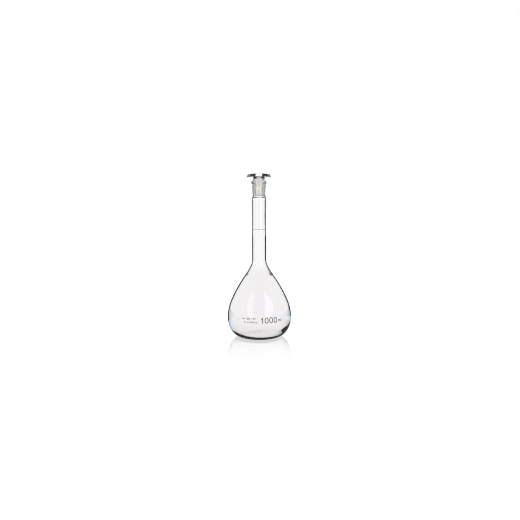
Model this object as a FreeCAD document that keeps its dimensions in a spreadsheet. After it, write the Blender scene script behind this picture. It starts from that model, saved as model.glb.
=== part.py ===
import FreeCAD, Part
import math
import os
import Sketcher

# Volumetric flask, 1000 ml, with a ground glass stopper.
# Every piece is turned about the Z axis. +Z is up, z = 0 is the plane the foot ring
# stands on, and sizes are in millimetres.
doc = FreeCAD.newDocument("volumetric_flask")

# ---------------------------------------------------------------- driving dimensions
DIMENSIONS = [
    # bulb: foot, heel, widest line, shoulder, flank and the seam to the neck
    ("foot_inner_radius", 29.0),
    ("punt_rise", 1.4),
    ("low_heel_radius", 25.3),
    ("heel_radius", 47.4),
    ("girth_height", 38.0),
    ("bulb_radius", 62.2),
    ("shoulder_radius", 82.0),
    ("shoulder_height", 70.5),
    ("flank_radius", 253.0),
    ("seam_radius", 26.75),
    ("seam_height", 120.7),
    ("bulb_wall", 1.596),
    ("foot_thickness", 4.2),
    ("heel_inside_radius", 23.5),
    ("floor_thickness", 4.4),
    # neck: flared skirt sealed on the bulb, then the tube
    ("skirt_radius", 127.0),
    ("root_radius", 24.2),
    ("root_height", 149.4),
    ("neck_radius", 13.8),
    ("neck_wall", 1.65),
    ("neck_top_radius", 14.1),
    ("flare_start_height", 235.0),
    ("flare_end_height", 262.0),
    ("seal_height", 268.0),
    # graduation ring
    ("ring_height", 209.0),
    ("ring_band", 0.55),
    ("ring_build", 0.12),
    # ground socket, standard taper 24/29
    ("cone_large_radius", 12.0),
    ("cone_small_radius", 10.55),
    ("cone_length", 29.0),
    ("rim_height", 305.0),
    ("rim_land", 1.3),
    ("bead_roll_radius", 1.8),
    ("bead_side", 2.3),
    ("bead_fillet", 2.0),
    ("socket_wall", 1.7),
    ("waist_gap", 0.3),
    ("throat_drop", 5.3),
    # stopper
    ("plug_clearance", 0.02),
    ("plug_tail", 2.2),
    ("plug_edge", 1.2),
    ("plug_wall", 2.3),
    ("plug_floor", 3.2),
    ("plug_step_height", 306.2),
    ("shank_radius", 11.0),
    ("head_base_height", 311.6),
    ("head_thickness", 5.9),
    ("head_corner_radius", 24.6),
    ("head_draft", 18.0),
    ("head_bevel", 0.5),
]

sheet = doc.addObject("Spreadsheet::Sheet", "dims")
for row, (alias, number) in enumerate(DIMENSIONS, start=1):
    sheet.set("A%d" % row, alias)
    sheet.set("B%d" % row, "%g" % number)
    sheet.setAlias("B%d" % row, alias)
doc.recompute()
dim = dict(DIMENSIONS)


# ---------------------------------------------------------------- sketch helpers
def plane_of(body, role):
    """The body's own origin plane with the given role."""
    for feature in body.Origin.OriginFeatures:
        if feature.Role == role:
            return feature
    raise RuntimeError("no plane " + role)


def new_body(name):
    """A PartDesign body whose label is the node name."""
    body = doc.addObject("PartDesign::Body", name)
    body.Label = name
    body.Placement = FreeCAD.Placement()
    return body


class Outline:
    """A closed outline in one sketch: joined lines and arcs, then sizes from the sheet."""

    def __init__(self, body, name, role="XZ_Plane"):
        self.sketch = body.newObject("Sketcher::SketchObject", name)
        self.sketch.AttachmentSupport = [(plane_of(body, role), "")]
        self.sketch.MapMode = "FlatFace"
        self.ends = []

    def line(self, a, b):
        start = FreeCAD.Vector(a[0], a[1], 0)
        end = FreeCAD.Vector(b[0], b[1], 0)
        index = self.sketch.addGeometry(Part.LineSegment(start, end), False)
        self.ends.append((index, 1, 2))
        return index

    def arc(self, centre, radius, first, last):
        """An arc drawn from angle first to angle last, in degrees, either way round."""
        middle = FreeCAD.Vector(centre[0], centre[1], 0)
        circle = Part.Circle(middle, FreeCAD.Vector(0, 0, 1), radius)
        low, high = sorted((math.radians(first), math.radians(last)))
        index = self.sketch.addGeometry(Part.ArcOfCircle(circle, low, high), False)
        self.ends.append((index, 1, 2) if first < last else (index, 2, 1))
        return index

    def join(self, number, kind):
        """Join element number to the next one, kind is Coincident or Tangent."""
        one = self.ends[number]
        two = self.ends[(number + 1) % len(self.ends)]
        self.sketch.addConstraint(Sketcher.Constraint(kind, one[0], one[2], two[0], two[1]))

    def join_all(self, tangent):
        """Join every element to the next; those numbered in tangent also run smoothly."""
        for number in range(len(self.ends)):
            self.join(number, "Tangent" if number in tangent else "Coincident")

    def start(self, index):
        return self.ends[index][1]

    def end(self, index):
        return self.ends[index][2]

    def add(self, *terms):
        return self.sketch.addConstraint(Sketcher.Constraint(*terms))

    def size(self, name, formula, *terms):
        """A named dimension that follows the spreadsheet."""
        number = self.add(*terms)
        self.sketch.renameConstraint(number, name)
        self.sketch.setExpression("Constraints." + name, formula)

    def radius(self, name, formula, index):
        value = self.sketch.Geometry[index].Radius
        self.size(name, formula, "Radius", index, value)

    def at_x(self, name, formula, index, point, value):
        self.size(name, formula, "DistanceX", -1, 1, index, point, value)

    def at_y(self, name, formula, index, point, value):
        self.size(name, formula, "DistanceY", -1, 1, index, point, value)


def revolve(body, outline, name):
    """Turn a finished outline right round the Z axis."""
    turned = body.newObject("PartDesign::Revolution", name)
    turned.Profile = outline.sketch
    turned.ReferenceAxis = (outline.sketch, ["V_Axis"])
    turned.Angle = 360.0
    outline.sketch.Visibility = False
    body.Tip = turned
    return turned


def polar(centre, radius, degrees):
    """The point at an angle on a circle."""
    angle = math.radians(degrees)
    return (centre[0] + radius * math.cos(angle), centre[1] + radius * math.sin(angle))


def tangent_from(point, centre, radius):
    """Angle at which a straight line through point leaves the round arc below it."""
    dx = point[0] - centre[0]
    dy = point[1] - centre[1]
    reach = math.hypot(dx, dy)
    return math.degrees(math.atan2(dy, dx) - math.acos(min(1.0, radius / reach)))


def sweep_centre(point, sweep, centre, radius):
    """Centre of the wide hollow arc that starts at point and runs into a tighter one."""
    dx = centre[0] - point[0]
    dy = centre[1] - point[1]
    reach = math.hypot(dx, dy)
    along = (sweep ** 2 - (sweep - radius) ** 2 + reach ** 2) / (2 * reach)
    aside = math.sqrt(sweep ** 2 - along ** 2)
    ux = dx / reach
    uy = dy / reach
    return (point[0] + ux * along + uy * aside, point[1] + uy * along - ux * aside)


def bearing(centre, point):
    """Direction from centre to point in degrees, 0 to 360."""
    return math.degrees(math.atan2(point[1] - centre[1], point[0] - centre[0])) % 360


# ---------------------------------------------------------------- bulb
def bulb_centres():
    """Centres of the bulb's shared arcs, and the angle where shoulder meets flank."""
    heel = (dim["bulb_radius"] - dim["heel_radius"], dim["girth_height"])
    shoulder = (dim["bulb_radius"] - dim["shoulder_radius"], dim["girth_height"])
    rise = dim["shoulder_height"] - dim["girth_height"]
    turn = math.degrees(math.asin(rise / dim["shoulder_radius"]))
    flank = polar(shoulder, dim["shoulder_radius"] - dim["flank_radius"], turn)
    return heel, shoulder, turn, flank


def low_heel(heel, radius, low_radius, bottom):
    """Centre of the tight arc under the heel, and the angle where the two arcs meet."""
    drop = (heel[1] - bottom - low_radius) / (radius - low_radius)
    bend = math.degrees(math.asin(drop))
    return polar(heel, radius - low_radius, -bend), bend


def make_bulb():
    """Blown bulb: foot ring, shallow punt, thick heel and a thin pear-shaped wall."""
    body = new_body("flask_bulb")
    o = Outline(body, "bulb_outline")
    heel, shoulder, turn, flank = bulb_centres()
    wall = dim["bulb_wall"]
    seam = (dim["seam_radius"], dim["seam_height"])
    lean = tangent_from(seam, flank, dim["flank_radius"])
    slant = wall / math.cos(math.radians(lean))
    seam_in = (seam[0] - slant, seam[1])
    under, bend = low_heel(heel, dim["heel_radius"], dim["low_heel_radius"], 0)
    inner = dim["heel_inside_radius"]
    ledge_z = dim["foot_thickness"]
    under_in, bend_in = low_heel(heel, dim["heel_radius"] - wall, inner, ledge_z)
    foot = dim["foot_inner_radius"]
    rise = dim["punt_rise"]
    floor = rise + dim["floor_thickness"]

    # outer face, from the middle of the punt out and up to the seam
    punt_radius = (foot ** 2 + rise ** 2) / (2 * rise)
    punt_angle = math.degrees(math.asin(foot / punt_radius))
    punt = o.arc((0, rise - punt_radius), punt_radius, 90, 90 - punt_angle)
    land = o.line((foot, 0), (under[0], 0))
    low_out = o.arc(under, dim["low_heel_radius"], -90, -bend)
    heel_out = o.arc(heel, dim["heel_radius"], -bend, 0)
    shoulder_out = o.arc(shoulder, dim["shoulder_radius"], 0, turn)
    flank_out = o.arc(flank, dim["flank_radius"], turn, lean)
    cone_out = o.line(polar(flank, dim["flank_radius"], lean), seam)
    seal = o.line(seam, seam_in)
    # inner face, back down to the floor
    cone_in = o.line(seam_in, polar(flank, dim["flank_radius"] - wall, lean))
    flank_in = o.arc(flank, dim["flank_radius"] - wall, lean, turn)
    shoulder_in = o.arc(shoulder, dim["shoulder_radius"] - wall, turn, 0)
    heel_in = o.arc(heel, dim["heel_radius"] - wall, 0, -bend_in)
    low_in = o.arc(under_in, inner, -bend_in, -90)
    ledge = o.line((under_in[0], ledge_z), (foot, ledge_z))
    dome_rise = floor - ledge_z
    dome_radius = (foot ** 2 + dome_rise ** 2) / (2 * dome_rise)
    dome_angle = math.degrees(math.asin(foot / dome_radius))
    dome = o.arc((0, floor - dome_radius), dome_radius, 90 - dome_angle, 90)
    core = o.line((0, floor), (0, rise))
    smooth = {land, low_out, heel_out, shoulder_out, flank_out}
    smooth |= {cone_in, flank_in, shoulder_in, heel_in, low_in}
    o.join_all(smooth)

    for index in (land, seal, ledge):
        o.add("Horizontal", index)
    o.add("Vertical", core)
    o.add("PointOnObject", punt, 3, -2)
    o.add("PointOnObject", dome, 3, -2)
    o.add("PointOnObject", core, 2, -2)
    o.add("PointOnObject", land, 1, -1)
    for within, outer in ((flank_in, flank_out), (shoulder_in, shoulder_out), (heel_in, heel_out)):
        o.add("Coincident", within, 3, outer, 3)
    o.add("Horizontal", heel_out, 3, heel_out, 2)
    o.add("Parallel", cone_in, cone_out)
    o.at_x("foot_inner_radius", "dims.foot_inner_radius", land, 1, foot)
    o.at_y("punt_rise", "dims.punt_rise", core, 2, rise)
    o.radius("low_heel_radius", "dims.low_heel_radius", low_out)
    o.radius("heel_radius", "dims.heel_radius", heel_out)
    o.at_x("bulb_radius", "dims.bulb_radius", heel_out, 2, dim["bulb_radius"])
    o.at_y("girth_height", "dims.girth_height", heel_out, 2, dim["girth_height"])
    o.radius("shoulder_radius", "dims.shoulder_radius", shoulder_out)
    o.at_y("shoulder_height", "dims.shoulder_height", shoulder_out, 2, dim["shoulder_height"])
    o.radius("flank_radius", "dims.flank_radius", flank_out)
    o.at_x("seam_radius", "dims.seam_radius", seal, 1, seam[0])
    o.at_y("seam_height", "dims.seam_height", seal, 1, seam[1])
    o.radius("heel_wall", "dims.heel_radius - dims.bulb_wall", heel_in)
    o.radius("heel_inside_radius", "dims.heel_inside_radius", low_in)
    o.at_y("foot_thickness", "dims.foot_thickness", ledge, 1, ledge_z)
    o.at_x("floor_land", "dims.foot_inner_radius", ledge, 2, foot)
    o.at_y("floor_top", "dims.punt_rise + dims.floor_thickness", core, 1, floor)
    revolve(body, o, "bulb_wall_turned")
    # width of the glass where the neck is sealed on, measured level
    sheet.set("A60", "seam_width")
    sheet.set("B60", "%.6f" % slant)
    sheet.setAlias("B60", "seam_width")
    dim["seam_width"] = slant
    return body


# ---------------------------------------------------------------- neck
def make_neck():
    """Neck: a flared skirt sealed on the bulb, then a tube up to the ground socket."""
    body = new_body("neck_tube")
    o = Outline(body, "neck_outline")
    low = dim["neck_radius"]
    high = dim["neck_top_radius"]
    wall = dim["neck_wall"]
    root_z = dim["root_height"]
    seam = (dim["seam_radius"], dim["seam_height"])
    seam_in = (seam[0] - dim["seam_width"], seam[1])
    root = (low + dim["root_radius"], root_z)
    sweep = dim["skirt_radius"]
    wide = sweep_centre(seam, sweep, root, dim["root_radius"])
    wide_in = sweep_centre(seam_in, sweep + wall, root, dim["root_radius"] + wall)
    meet = bearing(wide, root)
    meet_in = bearing(wide_in, root)
    skirt = o.arc(wide, sweep, bearing(wide, seam), meet)
    fillet = o.arc(root, dim["root_radius"], meet, 180)
    tube = o.line((low, root_z), (low, dim["flare_start_height"]))
    flare = o.line((low, dim["flare_start_height"]), (high, dim["flare_end_height"]))
    collar = o.line((high, dim["flare_end_height"]), (high, dim["seal_height"]))
    top = o.line((high, dim["seal_height"]), (high - wall, dim["seal_height"]))
    collar_in = o.line((high - wall, dim["seal_height"]), (high - wall, dim["flare_end_height"]))
    flare_in = o.line((high - wall, dim["flare_end_height"]), (low - wall, dim["flare_start_height"]))
    tube_in = o.line((low - wall, dim["flare_start_height"]), (low - wall, root_z))
    fillet_in = o.arc(root, dim["root_radius"] + wall, 180, meet_in)
    skirt_in = o.arc(wide_in, sweep + wall, meet_in, bearing(wide_in, seam_in))
    seal = o.line(seam_in, seam)
    o.join_all({skirt, fillet, tube_in, fillet_in})
    for index in (top, seal):
        o.add("Horizontal", index)
    for index in (tube, tube_in, collar, collar_in):
        o.add("Vertical", index)
    o.add("Coincident", fillet_in, 3, fillet, 3)
    o.at_x("seam_radius", "dims.seam_radius", skirt, o.start(skirt), seam[0])
    o.at_y("seam_height", "dims.seam_height", skirt, o.start(skirt), seam[1])
    o.radius("skirt_radius", "dims.skirt_radius", skirt)
    o.radius("root_radius", "dims.root_radius", fillet)
    o.at_x("neck_radius", "dims.neck_radius", tube, 1, low)
    o.at_y("root_height", "dims.root_height", tube, 1, root_z)
    o.at_y("flare_start", "dims.flare_start_height", flare, 1, dim["flare_start_height"])
    o.at_x("neck_top_radius", "dims.neck_top_radius", collar, 1, high)
    o.at_y("flare_end", "dims.flare_end_height", collar, 1, dim["flare_end_height"])
    o.at_y("seal_height", "dims.seal_height", top, 1, dim["seal_height"])
    o.at_x("top_bore", "dims.neck_top_radius - dims.neck_wall", collar_in, 1, high - wall)
    o.at_y("flare_in_top", "dims.flare_end_height", flare_in, 1, dim["flare_end_height"])
    o.at_y("flare_in_low", "dims.flare_start_height", tube_in, 1, dim["flare_start_height"])
    o.at_x("bore", "dims.neck_radius - dims.neck_wall", tube_in, 1, low - wall)
    o.radius("skirt_inside", "dims.skirt_radius + dims.neck_wall", skirt_in)
    o.at_x("seam_inside", "dims.seam_radius - dims.seam_width", seal, 1, seam_in[0])
    revolve(body, o, "neck_turned")
    return body


# ---------------------------------------------------------------- ground socket
def throat(o, x_low, x_high, z_low, z_high, upward):
    """Two equal arcs that draw the wall in from x_low to x_high, listed in drawing order."""
    step = x_low - x_high
    drop = z_high - z_low
    bend = 2 * math.degrees(math.atan2(step, drop))
    radius = drop / (2 * math.sin(math.radians(bend)))
    below = (x_low - radius, z_low)
    above = (x_high + radius, z_high)
    if upward:
        first = o.arc(below, radius, 0, bend)
        return first, o.arc(above, radius, 180 + bend, 180)
    first = o.arc(above, radius, 180, 180 + bend)
    return first, o.arc(below, radius, bend, 0)


def make_socket():
    """Ground socket: rolled bead at the rim, tapered wall, throat down to the neck."""
    body = new_body("ground_socket")
    o = Outline(body, "socket_outline")
    rim = dim["rim_height"]
    large = dim["cone_large_radius"]
    small = dim["cone_small_radius"]
    foot_z = rim - dim["cone_length"]
    top = dim["neck_top_radius"]
    seal = dim["seal_height"]
    slope = (large - small) / dim["cone_length"]
    waist_z = foot_z + dim["waist_gap"]
    waist = small + dim["socket_wall"] + slope * dim["waist_gap"]
    throat_z = waist_z - dim["throat_drop"]
    bore_top = foot_z - dim["waist_gap"]
    bore_z = bore_top - dim["throat_drop"]
    bead = dim["bead_roll_radius"]
    fillet = dim["bead_fillet"]
    crown = (large + dim["rim_land"], rim - bead)
    centre = (crown[0], crown[1] - dim["bead_side"])
    lean = math.degrees(math.atan(slope))

    # where the fillet under the bead touches the tapered wall and the bead
    side = (math.cos(math.radians(lean)), -math.sin(math.radians(lean)))
    offset = (centre[0] - waist) * side[0] + (centre[1] - waist_z) * side[1]
    along = math.sqrt((bead + fillet) ** 2 - (fillet - offset) ** 2)
    up = (math.sin(math.radians(lean)), math.cos(math.radians(lean)))
    nook = (centre[0] + side[0] * (fillet - offset) - up[0] * along,
            centre[1] + side[1] * (fillet - offset) - up[1] * along)
    touch = (nook[0] - side[0] * fillet, nook[1] - side[1] * fillet)
    away = math.degrees(math.atan2(nook[1] - centre[1], nook[0] - centre[0]))

    shank = o.line((top, seal), (top, throat_z))
    low_out, high_out = throat(o, top, waist, throat_z, waist_z, True)
    wall_out = o.line((waist, waist_z), touch)
    nook_arc = o.arc(nook, fillet, 180 - lean, 180 + away)
    bead_arc = o.arc(centre, bead, away, 0)
    bead_side = o.line((centre[0] + bead, centre[1]), (crown[0] + bead, crown[1]))
    crown_arc = o.arc(crown, bead, 0, 90)
    land = o.line((crown[0], rim), (large, rim))
    cone = o.line((large, rim), (small, foot_z))
    lip = o.line((small, foot_z), (small, bore_top))
    bore = top - dim["neck_wall"]
    high_in, low_in = throat(o, bore, small, bore_z, bore_top, False)
    shank_in = o.line((bore, bore_z), (bore, seal))
    seam = o.line((bore, seal), (top, seal))
    o.join_all({shank, low_out, wall_out, nook_arc, bead_arc, bead_side, lip, high_in, low_in})

    for index in (land, seam):
        o.add("Horizontal", index)
    for index in (shank, lip, shank_in):
        o.add("Vertical", index)
    o.add("Equal", low_out, high_out)
    o.add("Equal", low_in, high_in)
    o.add("Equal", bead_arc, crown_arc)
    o.add("Vertical", bead_side)
    o.add("Vertical", crown_arc, 3, land, 1)
    o.add("Parallel", cone, wall_out)
    o.add("Horizontal", high_out, 3, wall_out, 1)
    o.at_x("neck_top_radius", "dims.neck_top_radius", shank, 1, top)
    o.at_y("seal_height", "dims.seal_height", shank, 1, seal)
    o.at_x("bore_radius", "dims.neck_top_radius - dims.neck_wall", seam, 1, bore)
    o.at_y("rim_height", "dims.rim_height", cone, 1, rim)
    o.at_x("cone_large", "dims.cone_large_radius", cone, 1, large)
    o.at_x("cone_small", "dims.cone_small_radius", cone, 2, small)
    o.at_y("cone_foot", "dims.rim_height - dims.cone_length", cone, 2, foot_z)
    o.at_y("bore_top", "dims.rim_height - dims.cone_length - dims.waist_gap", lip, 2, bore_top)
    throat_low = "dims.rim_height - dims.cone_length - dims.waist_gap - dims.throat_drop"
    o.at_y("bore_low", throat_low, shank_in, 1, bore_z)
    waist_formula = "dims.rim_height - dims.cone_length + dims.waist_gap"
    o.at_y("waist_height", waist_formula, wall_out, 1, waist_z)
    o.at_y("throat_height", waist_formula + " - dims.throat_drop", shank, 2, throat_z)
    ratio = "(dims.cone_large_radius - dims.cone_small_radius) / dims.cone_length"
    formula = "dims.cone_small_radius + dims.socket_wall + dims.waist_gap * " + ratio
    o.at_x("waist_radius", formula, wall_out, 1, waist)
    o.radius("bead_roll_radius", "dims.bead_roll_radius", bead_arc)
    o.radius("bead_fillet", "dims.bead_fillet", nook_arc)
    o.at_x("rim_land", "dims.cone_large_radius + dims.rim_land", land, 1, crown[0])
    bead_z = "dims.rim_height - dims.bead_roll_radius - dims.bead_side"
    o.at_y("bead_height", bead_z, bead_arc, 3, centre[1])
    revolve(body, o, "socket_turned")
    return body


# ---------------------------------------------------------------- graduation ring
def make_ring():
    """Fired graduation line, a thin band right round the neck."""
    ring = doc.addObject("Part::Cut", "ring_mark")
    outer = doc.addObject("Part::Cylinder", "ring_outside")
    outer.setExpression("Radius", "dims.neck_radius + dims.ring_build")
    outer.setExpression("Height", "dims.ring_band")
    outer.setExpression("Placement.Base.z", "dims.ring_height - dims.ring_band / 2")
    inner = doc.addObject("Part::Cylinder", "ring_inside")
    inner.setExpression("Radius", "dims.neck_radius")
    inner.setExpression("Height", "dims.ring_band")
    inner.setExpression("Placement.Base.z", "dims.ring_height - dims.ring_band / 2")
    ring.Base = outer
    ring.Tool = inner
    ring.Label = "ring_mark"
    ring.Placement = FreeCAD.Placement()
    return ring


# ---------------------------------------------------------------- stopper
def make_plug():
    """Ground plug: closed tapered shell that fits the socket, with a narrow shank on top."""
    body = new_body("stopper_plug")
    o = Outline(body, "plug_outline")
    rim = dim["rim_height"]
    slope = (dim["cone_large_radius"] - dim["cone_small_radius"]) / dim["cone_length"]
    gap = dim["plug_clearance"]
    tail = rim - dim["cone_length"] - dim["plug_tail"]
    step = dim["plug_step_height"]
    step_r = dim["cone_large_radius"] - gap + slope * (step - rim)
    tail_r = dim["cone_large_radius"] - gap + slope * (tail - rim)
    shank = dim["shank_radius"]
    head = dim["head_base_height"]
    shank_z = step + (step_r - shank)
    wall = dim["plug_wall"]
    floor = tail + dim["plug_floor"]
    points = [(0, tail), (tail_r, tail), (step_r, step), (shank, shank_z), (shank, head),
              (shank - wall, head), (tail_r - wall, floor), (0, floor)]
    for number, point in enumerate(points):
        o.line(point, points[(number + 1) % len(points)])
    o.join_all(set())
    for index in (0, 4, 6):
        o.add("Horizontal", index)
    for index in (3, 7):
        o.add("Vertical", index)
    ratio = "(dims.cone_large_radius - dims.cone_small_radius) / dims.cone_length"
    fit = "dims.cone_large_radius - dims.plug_clearance"
    low = "dims.rim_height - dims.cone_length - dims.plug_tail"
    reach = "(dims.cone_length + dims.plug_tail)"
    rise = "(dims.plug_step_height - dims.rim_height)"
    o.add("PointOnObject", 0, 1, -2)
    o.at_y("tail_height", low, 0, 1, tail)
    o.at_x("tail_radius", fit + " - " + reach + " * " + ratio, 1, 1, tail_r)
    o.at_x("step_radius", fit + " + " + rise + " * " + ratio, 2, 1, step_r)
    o.at_y("step_height", "dims.plug_step_height", 2, 1, step)
    o.at_x("shank_radius", "dims.shank_radius", 3, 1, shank)
    shoulder = "dims.plug_step_height + " + fit + " + " + rise + " * " + ratio + " - dims.shank_radius"
    o.at_y("shank_height", shoulder, 3, 1, shank_z)
    o.at_y("head_base", "dims.head_base_height", 4, 1, head)
    o.at_x("cavity_top", "dims.shank_radius - dims.plug_wall", 5, 1, shank - wall)
    cavity = fit + " - " + reach + " * " + ratio + " - dims.plug_wall"
    o.at_x("cavity_low", cavity, 6, 1, tail_r - wall)
    o.at_y("cavity_floor", low + " + dims.plug_floor", 6, 1, floor)
    turned = revolve(body, o, "plug_turned")
    doc.recompute()
    rounded = body.newObject("PartDesign::Fillet", "plug_edge_rounded")
    edges = []
    for number, edge in enumerate(turned.Shape.Edges, start=1):
        circle = hasattr(edge.Curve, "Radius") and edge.isClosed()
        if circle and abs(edge.Curve.Center.z - tail) < 0.01 and edge.Curve.Radius > 5:
            edges.append("Edge%d" % number)
    rounded.Base = (turned, edges)
    rounded.setExpression("Radius", "dims.plug_edge")
    body.Tip = rounded
    return body


HEAD_SIDES = 12


def make_head():
    """Flat stopper head, twelve facets that lean in towards the top, fused on the shank."""
    body = new_body("stopper_head")
    o = Outline(body, "head_outline", "XY_Plane")
    reach = dim["head_corner_radius"]
    corners = []
    for number in range(HEAD_SIDES):
        corners.append(polar((0, 0), reach, 360.0 / HEAD_SIDES * (number + 0.5)))
    for number in range(HEAD_SIDES):
        o.line(corners[number], corners[(number + 1) % HEAD_SIDES])
    o.join_all(set())
    circle = Part.Circle(FreeCAD.Vector(0, 0, 0), FreeCAD.Vector(0, 0, 1), reach)
    ring = o.sketch.addGeometry(circle, True)
    o.add("Coincident", ring, 3, -1, 1)
    o.radius("corner_radius", "dims.head_corner_radius", ring)
    for number in range(HEAD_SIDES):
        o.add("PointOnObject", number, 1, ring)
    for number in range(1, HEAD_SIDES):
        o.add("Equal", 0, number)
    o.add("Vertical", HEAD_SIDES - 1)
    pad = body.newObject("PartDesign::Pad", "head_slab")
    pad.Profile = o.sketch
    pad.setExpression("Length", "dims.head_thickness")
    pad.setExpression("TaperAngle", "-dims.head_draft")
    o.sketch.setExpression("AttachmentOffset.Base.z", "dims.head_base_height")
    doc.recompute()
    bevel = body.newObject("PartDesign::Chamfer", "head_bevel")
    edges = []
    for number, edge in enumerate(pad.Shape.Edges, start=1):
        ends = [vertex.Point.z for vertex in edge.Vertexes]
        if abs(ends[0] - ends[1]) < 0.01:
            edges.append("Edge%d" % number)
    bevel.Base = (pad, edges)
    bevel.setExpression("Size", "dims.head_bevel")
    body.Tip = bevel
    return body


# ---------------------------------------------------------------- build, check and export
NODES = [make_bulb(), make_neck(), make_socket(), make_ring(), make_plug(), make_head()]
doc.recompute()

for item in doc.Objects:
    if "Invalid" in item.State or "Error" in item.State:
        raise RuntimeError("%s is %s" % (item.Name, item.State))

os.makedirs("parts", exist_ok=True)
for node in NODES:
    shape = node.Shape
    if shape.isNull() or not shape.isValid() or len(shape.Solids) != 1:
        raise RuntimeError("bad shape: " + node.Label)
    shape.exportStep("parts/%s.step" % node.Label)
    box = shape.BoundBox
    print("%-14s volume %9.1f mm3  z %.2f to %.2f  width %.2f" % (
        node.Label, shape.Volume, box.ZMin, box.ZMax, box.XLength))
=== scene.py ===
import math

import bmesh
import bpy
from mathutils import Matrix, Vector


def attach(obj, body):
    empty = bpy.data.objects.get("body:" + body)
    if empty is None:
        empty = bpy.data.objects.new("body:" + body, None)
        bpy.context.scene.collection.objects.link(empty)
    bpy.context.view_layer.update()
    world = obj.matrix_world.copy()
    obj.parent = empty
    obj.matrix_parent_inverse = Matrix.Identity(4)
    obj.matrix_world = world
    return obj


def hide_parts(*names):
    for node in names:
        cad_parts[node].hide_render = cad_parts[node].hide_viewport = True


# Volumetric flask, 1000 ml, with its ground glass stopper seated in the neck.
# Lengths in the shape sections are millimetres, Blender's are metres.
MM = 0.001
TURNS = 192

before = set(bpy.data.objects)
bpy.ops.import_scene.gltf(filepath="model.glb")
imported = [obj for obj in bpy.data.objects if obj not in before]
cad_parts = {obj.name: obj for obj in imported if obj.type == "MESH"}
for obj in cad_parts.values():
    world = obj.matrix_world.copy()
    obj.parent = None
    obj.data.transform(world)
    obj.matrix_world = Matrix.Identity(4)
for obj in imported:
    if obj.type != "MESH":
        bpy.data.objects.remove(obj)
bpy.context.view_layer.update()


# ---------------------------------------------------------------- outline helpers
def polar(centre, radius, degrees):
    angle = math.radians(degrees)
    return (centre[0] + radius * math.cos(angle), centre[1] + radius * math.sin(angle))


def arc(centre, radius, first, last, steps):
    """Points along an arc, without its last one."""
    return [polar(centre, radius, first + (last - first) * i / steps) for i in range(steps)]


def line(a, b, steps):
    """Points along a straight line, without its last one."""
    return [(a[0] + (b[0] - a[0]) * i / steps, a[1] + (b[1] - a[1]) * i / steps) for i in range(steps)]


def bearing(centre, point):
    """Direction from centre to point in degrees, 0 to 360."""
    return math.degrees(math.atan2(point[1] - centre[1], point[0] - centre[0])) % 360


def tangent_from(point, centre, radius):
    """Angle at which a straight line through point leaves the round arc below it."""
    reach = math.hypot(point[0] - centre[0], point[1] - centre[1])
    return bearing(centre, point) - math.degrees(math.acos(min(1.0, radius / reach)))


def sweep_centre(point, sweep, centre, radius):
    """Centre of the wide hollow arc that starts at point and runs into a tighter one."""
    dx = centre[0] - point[0]
    dy = centre[1] - point[1]
    reach = math.hypot(dx, dy)
    along = (sweep ** 2 - (sweep - radius) ** 2 + reach ** 2) / (2 * reach)
    aside = math.sqrt(sweep ** 2 - along ** 2)
    return (point[0] + (dx * along + dy * aside) / reach, point[1] + (dy * along - dx * aside) / reach)


def smooth(share):
    """0 to 1 with level ends."""
    share = min(1.0, max(0.0, share))
    return share * share * (3.0 - 2.0 * share)


# ---------------------------------------------------------------- sizes
BULB_R = 62.2
GIRTH_Z = 38.0
HEEL_R = 47.4
LOW_HEEL_R = 25.3
HEEL_INSIDE_R = 23.5
FOOT_R = 29.0
PUNT = 1.4
FOOT_WALL = 4.2
FLOOR = 5.8
SHOULDER_R = 82.0
SHOULDER_Z = 70.5
FLANK_R = 253.0
SEAM = (26.75, 120.7)
BULB_WALL = 1.596
SKIRT_R = 127.0
ROOT_R = 24.2
ROOT_Z = 149.4
NECK_R = 13.8
NECK_WALL = 1.65
NECK_TOP_R = 14.1
FLARE = (235.0, 262.0)
RING_Z = 209.0
RIM_Z = 305.0
CONE_TOP_R = 12.0
CONE_FOOT_R = 10.55
CONE_LENGTH = 29.0
CONE_SLOPE = (CONE_TOP_R - CONE_FOOT_R) / CONE_LENGTH
SOCKET_WALL = 1.7
CONE_LAND = 0.3
THROAT_DROP = 5.3
RIM_LAND = 1.3
BEAD_R = 1.8
BEAD_SIDE = 2.3
BEAD_FILLET = 2.0
RING_HALF = 0.2
RING_BUILD = 0.1
RING_SUNK = 0.03

CONE_GAP = 0.02
PLUG_TAIL_Z = 273.8
PLUG_TAIL_EDGE = 1.2
PLUG_STEP_Z = 306.2
SHANK_R = 11.0
HOLLOW = (277.4, 310.6)
HOLLOW_R = (8.0, 8.7)
HOLLOW_CORNER = (2.4, 3.0)
PLUG_TURNS = 144
HEAD_SIDES = 12
HEAD_CORNER_R = 24.6
HEAD_CORNER_EDGE = 0.5
HEAD_CORNER_POINTS = 7
HEAD_BASE = 311.6
HEAD_TOP = 317.5
HEAD_BEVEL = 0.5
HEAD_DRAFT = math.radians(18.0)

# Blown glass is uneven. Each gather of extra glass has a thickness, a middle height and a reach.
HEEL_GATHER = (2.0, 15.0, 12.0)
GIRTH_GATHER = (0.7, 60.0, 32.0)
SEAM_KNOT = (1.6, SEAM[1] + 0.8, 3.0)
SEAM_SWELL = (0.5, SEAM[1] + 0.8, 2.4)
THROAT_BEAD = (1.2, 272.8, 2.2)
# Slower changes of the wall, the height where the thicker neck top starts and where all of it ends
SKIRT_EXTRA = 1.1
NECK_EXTRA = 0.12
NECK_EXTRA_RIGHT = 0.3
NECK_TOP_EXTRA = 0.4
NECK_TOP_FROM = 205.0
FOOT_THINNER = 1.1
EVEN_ABOVE = 268.0

HEEL_C = (BULB_R - HEEL_R, GIRTH_Z)
SHOULDER_C = (BULB_R - SHOULDER_R, GIRTH_Z)
TURN = math.degrees(math.asin((SHOULDER_Z - GIRTH_Z) / SHOULDER_R))
FLANK_C = polar(SHOULDER_C, SHOULDER_R - FLANK_R, TURN)
ROOT_C = (NECK_R + ROOT_R, ROOT_Z)


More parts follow.
